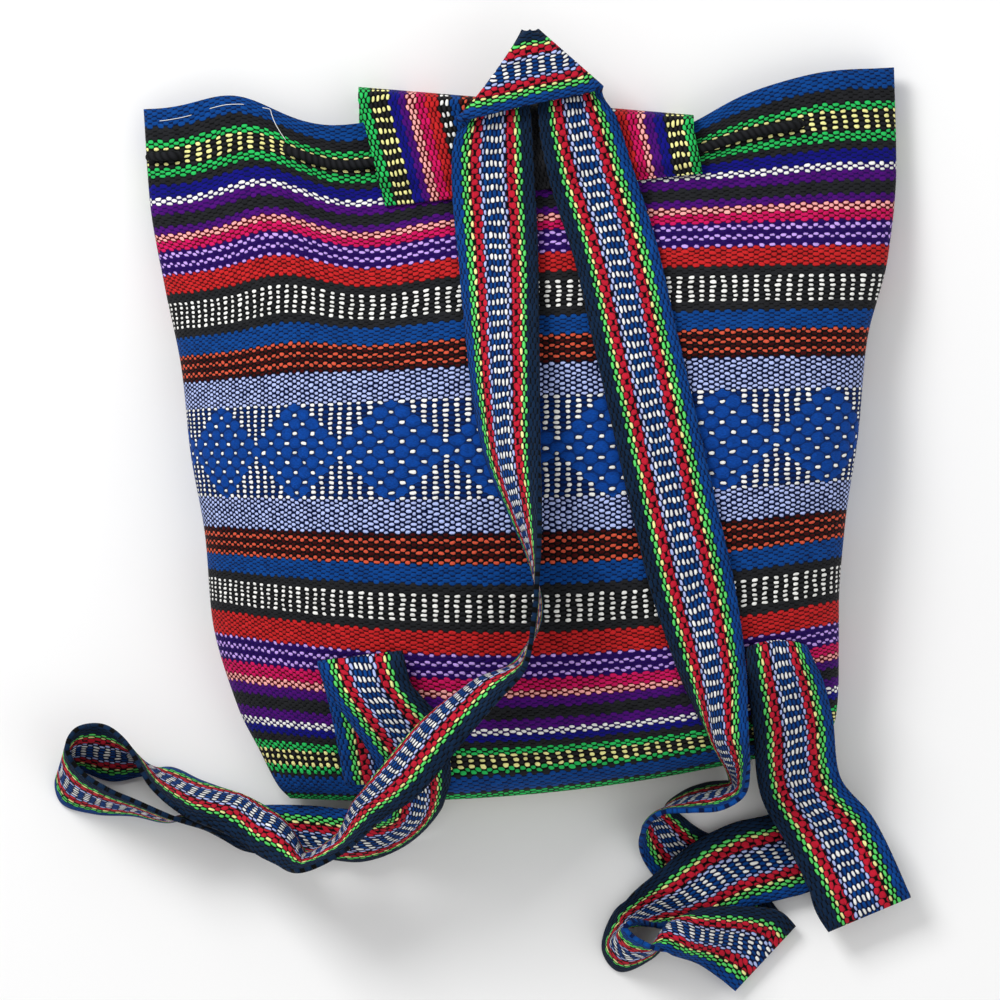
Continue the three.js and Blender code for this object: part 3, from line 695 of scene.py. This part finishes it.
class Wiring:
    """Adds nodes to one tree; a socket is linked, any other value is set."""

    def __init__(self, tree):
        self.tree = tree

    def node(self, kind, **settings):
        made = self.tree.nodes.new(kind)
        for key, value in settings.items():
            setattr(made, key, value)
        return made

    def put(self, socket, value):
        if isinstance(value, bpy.types.NodeSocket):
            self.tree.links.new(value, socket)
        else:
            socket.default_value = value

    def math(self, operation, *values):
        made = self.node("ShaderNodeMath", operation=operation)
        for socket, value in zip(made.inputs, values):
            self.put(socket, value)
        return made.outputs[0]

    def choose(self, factor, a, b):
        """a where factor is 0, b where it is 1, for numbers."""
        made = self.node("ShaderNodeMix", data_type="FLOAT")
        for socket, value in zip(made.inputs[0:1] + made.inputs[2:4], (factor, a, b)):
            self.put(socket, value)
        return made.outputs[0]

    def blend(self, factor, a, b, how="MIX"):
        """A colour between a and b."""
        made = self.node("ShaderNodeMix", data_type="RGBA", blend_type=how)
        for socket, value in zip(made.inputs[0:1] + made.inputs[6:8], (factor, a, b)):
            self.put(socket, value)
        return made.outputs[2]

    def pack(self, x, y):
        """A vector of two numbers."""
        made = self.node("ShaderNodeCombineXYZ")
        self.put(made.inputs[0], x)
        self.put(made.inputs[1], y)
        return made.outputs[0]

    def grey(self, value):
        """A colour of one number."""
        made = self.node("ShaderNodeCombineColor")
        for socket in made.inputs:
            self.put(socket, value)
        return made.outputs[0]

    def relief(self, shader, height, depth):
        """Bump of a height on a shader, depth in mm."""
        made = self.node("ShaderNodeBump")
        made.inputs["Distance"].default_value = depth * MM
        self.put(made.inputs["Height"], height)
        self.put(shader.inputs["Normal"], made.outputs[0])

    def weave_place(self):
        """Length along and ends across the warp, from the UV map."""
        split = self.node("ShaderNodeSeparateXYZ")
        self.put(split.inputs[0], self.node("ShaderNodeUVMap", uv_map="weave").outputs[0])
        return split.outputs[:2]

    def steps(self, factor, stops):
        """A colour ramp of hard steps."""
        made = self.node("ShaderNodeValToRGB")
        ramp = made.color_ramp
        ramp.interpolation = "CONSTANT"
        while len(ramp.elements) > 1:
            ramp.elements.remove(ramp.elements[-1])
        for index, (place, colour) in enumerate(stops):
            element = ramp.elements[0] if index == 0 else ramp.elements.new(place)
            element.position = place
            element.color = (*colour, 1.0)
        self.put(made.inputs[0], factor)
        return made.outputs[0]


def new_group(name, inputs, outputs):
    """An empty shader group of numbers."""
    group = bpy.data.node_groups.new(name, "ShaderNodeTree")
    for labels, side in ((inputs, "INPUT"), (outputs, "OUTPUT")):
        for label in labels:
            group.interface.new_socket(name=label, in_out=side, socket_type="NodeSocketFloat")
    wiring = Wiring(group)
    return wiring, wiring.node("NodeGroupInput"), wiring.node("NodeGroupOutput")


def float_weave():
    """Group: the nearest oval in a brick of warp floats, as a radius with its row, column and twist."""
    found = bpy.data.node_groups.get("float_weave")
    if found:
        return found
    w, given, out = new_group(
        "float_weave", ("Along", "Across", "Wide", "Tall"), ("Radius", "Row", "Column", "Twist"))
    halves = w.math("MULTIPLY", given.outputs["Across"], 0.5)
    floats = []
    for shift in (0.0, 0.5):
        x = w.math("SUBTRACT", given.outputs["Along"], shift)
        y = w.math("SUBTRACT", halves, shift)
        column_number = w.math("FLOOR", w.math("ADD", x, 0.5))
        row_number = w.math("FLOOR", w.math("ADD", y, 0.5))
        dx = w.math("MULTIPLY", w.math("SUBTRACT", x, column_number), 2.0)
        dy = w.math("MULTIPLY", w.math("SUBTRACT", y, row_number), 2.0)
        wide, tall = (
            w.math("POWER", w.math("DIVIDE", w.math("ABSOLUTE", off), given.outputs[label]), OVAL)
            for off, label in ((dx, "Wide"), (dy, "Tall")))
        floats.append((
            w.math("ADD", wide, tall),
            w.math("MULTIPLY_ADD", row_number, 2.0, 2 * shift),
            w.math("MULTIPLY_ADD", column_number, 2.0, 2 * shift),
            w.math("MULTIPLY_ADD", dx, TWIST[0], w.math("MULTIPLY", dy, TWIST[1])),
        ))
    later = w.math("LESS_THAN", floats[1][0], floats[0][0])
    radius, row, column_place, slant = (w.choose(later, a, b) for a, b in zip(*floats))
    twist = w.math("SINE", w.math("MULTIPLY", slant, TWIST[2]))
    for label, value in (("Radius", radius), ("Row", row), ("Column", column_place), ("Twist", twist)):
        w.put(out.inputs[label], value)
    return w.tree


def float_edge():
    """Group: the swell of a float and the gap beside it, from its radius."""
    found = bpy.data.node_groups.get("float_edge")
    if found:
        return found
    w, given, out = new_group("float_edge", ("Radius",), ("Height", "Gap"))
    radius = given.outputs["Radius"]
    w.put(out.inputs["Height"], w.math("SQRT", w.math("MAXIMUM", w.math("SUBTRACT", 1.0, radius), 0.0)))
    gap = w.node("ShaderNodeMapRange", interpolation_type="SMOOTHSTEP")
    for socket, value in zip(gap.inputs[:5], (radius, *GAP, 0.0, 1.0)):
        w.put(socket, value)
    w.put(out.inputs["Gap"], gap.outputs[0])
    return w.tree


def place_group(w, group, **inputs):
    """A copy of a group in a tree."""
    made = w.node("ShaderNodeGroup")
    made.node_tree = group
    for label, value in inputs.items():
        w.put(made.inputs[label], value)
    return made


def new_material(name, roughness, specular=0.5):
    """A material with its wiring and its shader."""
    material = bpy.data.materials.new(name)
    material.use_nodes = True
    shader = material.node_tree.nodes["Principled BSDF"]
    shader.inputs["Roughness"].default_value = roughness
    shader.inputs["Specular IOR Level"].default_value = specular
    return material, Wiring(material.node_tree), shader


def striped_cloth(name, stripes, yarns, span, distance, period, diamonds=False, depth=CLOTH_DEPTH):
    """A woven material: distance(w, row) gives the place in the stripes of each warp row."""
    material, w, shader = new_material(name, 0.85, 0.08)
    shader.inputs["Sheen Weight"].default_value = 0.03
    shader.inputs["Sheen Roughness"].default_value = 0.5
    run, across = w.weave_place()
    along = w.math("DIVIDE", run, period)
    wander = w.node("ShaderNodeTexNoise", noise_dimensions="2D")
    w.put(wander.inputs["Scale"], WANDER_SCALE)
    w.put(wander.inputs["Vector"], w.pack(w.math("MULTIPLY", along, WANDER_STRETCH), across))
    drift = w.node("ShaderNodeSeparateColor")
    w.put(drift.inputs[0], wander.outputs["Color"])
    along, across = (
        w.math("ADD", place, w.math("MULTIPLY_ADD", shift, amount, -amount / 2))
        for place, shift, amount in zip((along, across), drift.outputs, WANDER))
    weave = place_group(w, float_weave(), Along=along, Across=across, **FLOAT)
    row, column_place = weave.outputs["Row"], weave.outputs["Column"]
    ends = distance(w, row)
    far = w.math("DIVIDE", ends, span)

    def table(pick):
        return w.steps(far, [(stripe[0] / span, pick(stripe)) for stripe in stripes])

    first, second, shadow = (
        table(lambda stripe: getattr(yarns, stripe[part])) for part in (2, -2, -1))
    kind = w.math("MULTIPLY", table(lambda stripe: (stripe[1] / LAST_KIND,) * 3), LAST_KIND)

    def is_kind(number):
        return w.math("COMPARE", kind, number, MATCH)

    two = place_group(w, float_weave(), Along=along, Across=w.math("MULTIPLY_ADD", across, 0.5, -0.25),
                      **PAIR_FLOAT)
    close = table(lambda stripe: (CLOSE.get(stripe[2], 1.0),) * 3)

    # Each float has its own size and tint, and its edge is rough with fibres.
    grain = w.node("ShaderNodeTexWhiteNoise", noise_dimensions="2D")
    w.put(grain.inputs["Vector"], w.pack(row, column_place))
    chance = grain.outputs["Value"]
    fibre = w.node("ShaderNodeTexNoise", noise_dimensions="2D")
    w.put(fibre.inputs["Scale"], FIBRE_SCALE)
    w.put(fibre.inputs["Detail"], 3.0)
    w.put(fibre.inputs["Vector"], w.pack(w.math("MULTIPLY", along, FIBRE_STRETCH), across))
    rough = w.math("SUBTRACT", fibre.outputs[0], 0.5)
    size = w.math("MULTIPLY", close, w.math("MULTIPLY_ADD", chance, SIZE_CHANGE, SIZE_MOST))
    radius = w.choose(is_kind(4.0), weave.outputs["Radius"], two.outputs["Radius"])
    radius = w.math("MULTIPLY_ADD", rough, EDGE_FIBRE, w.math("MULTIPLY", radius, size))
    edge = place_group(w, float_edge(), Radius=radius)
    height, gap = edge.outputs["Height"], edge.outputs["Gap"]

    odd = w.math("FLOORED_MODULO", row, 2.0)
    every_four = w.math("FLOORED_MODULO", w.math("ADD", ends, 1.0), 4.0)
    pair = w.math("COMPARE", every_four, 0.5, 0.6)
    use_second = w.math("ADD", w.math("MULTIPLY", is_kind(1.0), odd), w.math("MULTIPLY", is_kind(2.0), pair))
    streak = SHADE_FIBRE
    if diamonds:
        in_band = is_kind(3.0)
        picks = w.math("PINGPONG", w.math("ADD", column_place, PICK_SHIFT), DIAMOND_PICKS)
        reach = w.math("ADD", w.math("DIVIDE", picks, DIAMOND_PICKS), w.math("DIVIDE", ends, DIAMOND_ENDS))
        inside = w.math("MULTIPLY", in_band, w.math("LESS_THAN", reach, DIAMOND_REACH))
        outside = w.math("SUBTRACT", in_band, inside)
        # White floats show in the diamonds at every eighth place of a slanted count, on even rows.
        step = w.math("MULTIPLY_ADD", column_place, 2.0, w.math("ADD", row, 4.0))
        plain = w.math("SUBTRACT", 1.0, w.math("COMPARE", w.math("FLOORED_MODULO", step, 8.0), 0.0, 0.4))
        plain = w.math("MAXIMUM", plain, odd)
        sunk = w.math("MULTIPLY", outside, odd)
        swell = w.math("MULTIPLY", inside, plain)
        use_second = w.math("ADD", w.math("ADD", use_second, sunk), swell)
        big = place_group(w, float_weave(), Along=w.math("MULTIPLY", along, 0.5),
                          Across=w.math("DIVIDE", across, 4.0), **BIG_FLOAT)
        radius = w.math("MULTIPLY_ADD", rough, BIG_EDGE_FIBRE, big.outputs["Radius"])
        blunt = place_group(w, float_edge(), Radius=radius)
        height = w.choose(swell, height, w.math("MULTIPLY_ADD", blunt.outputs["Height"], BIG_SWELL, BIG_LIFT))
        gap = w.choose(swell, gap, w.math("MULTIPLY", blunt.outputs["Gap"], BIG_GAP))
        streak = w.choose(swell, streak, BIG_SHADE_FIBRE)
    colour = w.blend(use_second, first, second)
    # Painted light: each float is lightened on its raised crown and shaded along its plies, besides its
    # random tint and fibre streaks.
    shade = SHADE_LEAST
    for value, weight in ((chance, SHADE_CHANCE), (weave.outputs["Twist"], PLY_SHADING),
                          (rough, streak), (height, CROWN_HIGHLIGHT)):
        shade = w.math("MULTIPLY_ADD", value, weight, shade)
    thread = w.blend(1.0, colour, w.grey(shade), "MULTIPLY")
    if diamonds:
        thread = w.blend(w.math("MULTIPLY", sunk, SUNK), thread, shadow)
    w.put(shader.inputs["Base Color"], w.blend(gap, thread, shadow))
    height = w.math("MULTIPLY_ADD", weave.outputs["Twist"], DEPTH_TWIST, height)
    w.relief(shader, w.math("MULTIPLY_ADD", rough, DEPTH_FIBRE, height), depth)
    return material


def twisted_cord(name, yarns):
    """Black cord with the slant of its plies and painted shade in the grooves between them."""
    material, w, shader = new_material(name, 0.9, 0.1)
    run, around = w.weave_place()
    turn = w.math("MULTIPLY_ADD", run, PLY_ALONG, w.math("MULTIPLY", around, PLY_ROUND))
    ply = w.math("ABSOLUTE", w.math("SINE", w.math("MULTIPLY", turn, 0.5)))
    # Painted shade: the cord's colour is darkened between its plies.
    lit = w.grey(w.math("MULTIPLY_ADD", ply, 1 - PLY_GROOVE_SHADE, PLY_GROOVE_SHADE))
    w.put(shader.inputs["Base Color"], w.blend(1.0, (*yarns.black, 1.0), lit, "MULTIPLY"))
    w.relief(shader, ply, CORD_DEPTH)
    return material


class BACKPACK_OT_bag(Operator):
    """Build the bag of one cloth folded at the bottom"""

    bl_idname = "backpack.bag"
    bl_label = "Bag"

    def execute(self, context):
        sizes, yarns = context.scene.backpack_sizes, context.scene.backpack_yarns
        across, along = BAG_FACES
        even = np.linspace(0, 1, across + 1)
        share = EVEN_ACROSS * even + (1 - EVEN_ACROSS) * (0.5 - 0.5 * np.cos(np.pi * even))
        even = np.linspace(0, 1, along + 1)
        ends = FOLD_END * (EVEN_ALONG * even + (1 - EVEN_ALONG) * np.sin(np.pi / 2 * even))
        back = cloth_point("back", share[None, :], ends[:, None])
        front = cloth_point("front", share[None, :], ends[::-1][1:, None])
        points = np.concatenate([back, front])
        threads = np.concatenate([ends, 2 * FOLD_END - ends[::-1][1:]])
        run = np.array([running_length(row) for row in points])
        middle = np.array([np.interp(0.5, share, row) for row in run])
        # Diamonds are counted from a centre a little left of the middle. Below the hem the picks crowd
        # together towards the left side.
        below = np.clip((threads - CROWD_START) / CROWD_START, 0, 1)[:, None]
        crowd = CROWD * CROWD_SHARE / CROWD_POWER * np.maximum(0, 1 - share / CROWD_SHARE) ** CROWD_POWER
        reach = (run - middle[:, None] - below * crowd * run[:, -1:]) * MM + DIAMOND_CENTRE
        piece = woven_grid("bag_cloth", points[:, ::-1], reach[:, ::-1],
                           np.repeat(threads[:, None], across + 1, axis=1), close=True)
        thicken(piece, sizes.cloth, -1)

        def distance(w, row):
            first = w.math("ABSOLUTE", w.math("SUBTRACT", row, DIAMOND_ROWS[0]))
            for place, shift in LOWER_SHIFTS:
                first = w.math("MULTIPLY_ADD", w.math("GREATER_THAN", row, place), shift, first)
            second = w.math("ABSOLUTE", w.math("SUBTRACT", row, DIAMOND_ROWS[1]))
            turn = w.math("ABSOLUTE", w.math("SUBTRACT", row, TURN_ROW))
            plain = w.math("MINIMUM", w.math("MINIMUM", first, second), PLAIN_LIMIT)
            near = w.math("LESS_THAN", turn, TURN_ENDS)
            return w.choose(near, plain, w.math("ADD", turn, TURN_START))

        piece.data.materials.append(striped_cloth(
            "bag_weave", BAG_STRIPES, yarns, BAG_SPAN, distance, sizes.bag_period, diamonds=True))
        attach(piece, "root")
        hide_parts("bag_body")
        return {"FINISHED"}


class BACKPACK_OT_flap(Operator):
    """Build the flap over the mouth"""

    bl_idname = "backpack.flap"
    bl_label = "Flap"

    def execute(self, context):
        sizes, yarns = context.scene.backpack_sizes, context.scene.backpack_yarns
        points = flap_surface(sizes.cloth / MM, *FLAP_FACES)
        width = points.shape[1] - 1
        total = FLAP_WIDTH * MM / sizes.end_pitch
        run = np.array([running_length(points[:, i]) for i in range(width + 1)]).T * MM
        ends = np.repeat(np.linspace(0, total, width + 1)[None, :], len(points), axis=0)
        piece = woven_grid("flap_cloth", points, run, ends)
        thicken(piece, sizes.cloth, 0)

        def distance(w, row):
            return w.math("MINIMUM", w.math("MAXIMUM", row, 0.0),
                          w.math("MAXIMUM", w.math("SUBTRACT", total, row), 0.0))

        piece.data.materials.append(striped_cloth(
            "flap_weave", FLAP_STRIPES, yarns, FLAP_SPAN, distance, sizes.bag_period))
        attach(piece, "root")
        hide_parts("flap")
        return {"FINISHED"}


class BACKPACK_OT_strap(Operator):
    """Build the shoulder strap of one patterned band"""

    bl_idname = "backpack.strap"
    bl_label = "Shoulder strap"

    def execute(self, context):
        sizes, yarns = context.scene.backpack_sizes, context.scene.backpack_yarns
        points = strap_surface(sizes, *STRAP_FACES)
        width = points.shape[1] - 1
        ends = np.linspace(0, sizes.band_ends, width + 1)
        piece = woven_grid("strap_band", points, woven_length(points, STRAP_DRIFT) * MM,
                           np.repeat(ends[None, :], len(points), axis=0))
        thicken(piece, sizes.band, 0)

        def distance(w, row):
            return w.math("MAXIMUM", row, 0.0)

        piece.data.materials.append(striped_cloth(
            "strap_weave", STRAP_STRIPES, yarns, float(sizes.band_ends + STRAP_SPARE), distance,
            sizes.band_period, depth=STRAP_DEPTH))
        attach(piece, "root")
        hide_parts("shoulder_strap")
        return {"FINISHED"}


class BACKPACK_OT_drawstring(Operator):
    """Build the drawstring through the cloth below the hem"""

    bl_idname = "backpack.drawstring"
    bl_label = "Drawstring"

    def execute(self, context):
        sizes, yarns = context.scene.backpack_sizes, context.scene.backpack_yarns
        piece = strand("drawstring_cord", cord_line(sizes), sizes.cord / MM / 2, CORD_FACES[1], closed=True)
        piece.data.materials.append(twisted_cord("cord_black", yarns))
        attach(piece, "root")
        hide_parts("drawstring")
        return {"FINISHED"}


class BACKPACK_OT_thread(Operator):
    """Build the pale thread in the hem and its loose end"""

    bl_idname = "backpack.thread"
    bl_label = "Hem thread"

    def execute(self, context):
        yarns = context.scene.backpack_yarns
        route = [cloth_point("back", share, ends) + (0, 0, lift) for share, ends, lift in THREAD]
        steps, sides = THREAD_FACES
        piece = strand("hem_thread", smooth_line(route, steps), THREAD_RADIUS, sides, closed=False)
        material, _, shader = new_material("thread_white", 0.8)
        shader.inputs["Base Color"].default_value = (*yarns.white, 1.0)
        piece.data.materials.append(material)
        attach(piece, "root")
        return {"FINISHED"}


class BACKPACK_OT_stage(Operator):
    """Set the floor, the soft light and the camera of the picture"""

    bl_idname = "backpack.stage"
    bl_label = "Stage"

    def execute(self, context):
        sizes = context.scene.backpack_sizes
        mesh = bpy.data.meshes.new("floor")
        bm = bmesh.new()
        bmesh.ops.create_grid(bm, x_segments=2, y_segments=2, size=FLOOR_SIZE)
        bm.to_mesh(mesh)
        bm.free()
        floor = link_new("floor", mesh)
        pale, _, paper = new_material("pale_floor", 0.9)
        paper.inputs["Base Color"].default_value = (FLOOR_TONE, FLOOR_TONE, FLOOR_TONE, 1)
        mesh.materials.append(pale)
        world = bpy.data.worlds.new("studio")
        world.use_nodes = True
        sky = world.node_tree.nodes["Background"]
        sky.inputs[0].default_value = (1, 1, 1, 1)
        sky.inputs[1].default_value = SKY
        context.scene.world = world
        for name, place, size, power in LIGHTS:
            lamp = bpy.data.lights.new(name, "AREA")
            lamp.size = size
            lamp.energy = power
            light = link_new(name, lamp)
            light.location = place
            aim = np.array(place) * -1.0
            flat = float(np.hypot(aim[0], aim[1]))
            light.rotation_euler = (float(np.arctan2(flat, -aim[2])), 0, float(np.arctan2(-aim[0], aim[1])))
        lens = bpy.data.cameras.new("picture")
        lens.sensor_width = SENSOR
        lens.lens = SENSOR * (sizes.camera_height - PICTURE_LEVEL) / (PICTURE_WIDTH * MM)
        lens.clip_end = 50.0
        camera = link_new("picture", lens)
        camera.location = (PICTURE_CENTRE[0] * MM, PICTURE_CENTRE[1] * MM, sizes.camera_height)
        context.scene.camera = camera
        context.scene.view_settings.view_transform = "Standard"
        return {"FINISHED"}


class BACKPACK_PT_panel(Panel):
    """Sidebar panel of the backpack"""

    bl_idname = "BACKPACK_PT_panel"
    bl_label = "Woven backpack"
    bl_space_type = "VIEW_3D"
    bl_region_type = "UI"
    bl_category = "Backpack"

    def draw(self, context):
        for operator in OPERATORS:
            self.layout.operator(operator.bl_idname)
        for group in (context.scene.backpack_sizes, context.scene.backpack_yarns):
            for name in group.__annotations__:
                self.layout.prop(group, name)


OPERATORS = (
    BACKPACK_OT_stage, BACKPACK_OT_bag, BACKPACK_OT_flap, BACKPACK_OT_strap, BACKPACK_OT_drawstring,
    BACKPACK_OT_thread,
)
CLASSES = (BackpackYarns, BackpackSizes, *OPERATORS, BACKPACK_PT_panel)


def register():
    for item in CLASSES:
        bpy.utils.register_class(item)
    bpy.types.Scene.backpack_yarns = PointerProperty(type=BackpackYarns)
    bpy.types.Scene.backpack_sizes = PointerProperty(type=BackpackSizes)


def unregister():
    del bpy.types.Scene.backpack_sizes
    del bpy.types.Scene.backpack_yarns
    for item in reversed(CLASSES):
        bpy.utils.unregister_class(item)


def main():
    register()
    bpy.ops.backpack.stage()
    bpy.ops.backpack.bag()
    bpy.ops.backpack.flap()
    bpy.ops.backpack.strap()
    bpy.ops.backpack.drawstring()
    bpy.ops.backpack.thread()


if __name__ == "__main__":
    main()
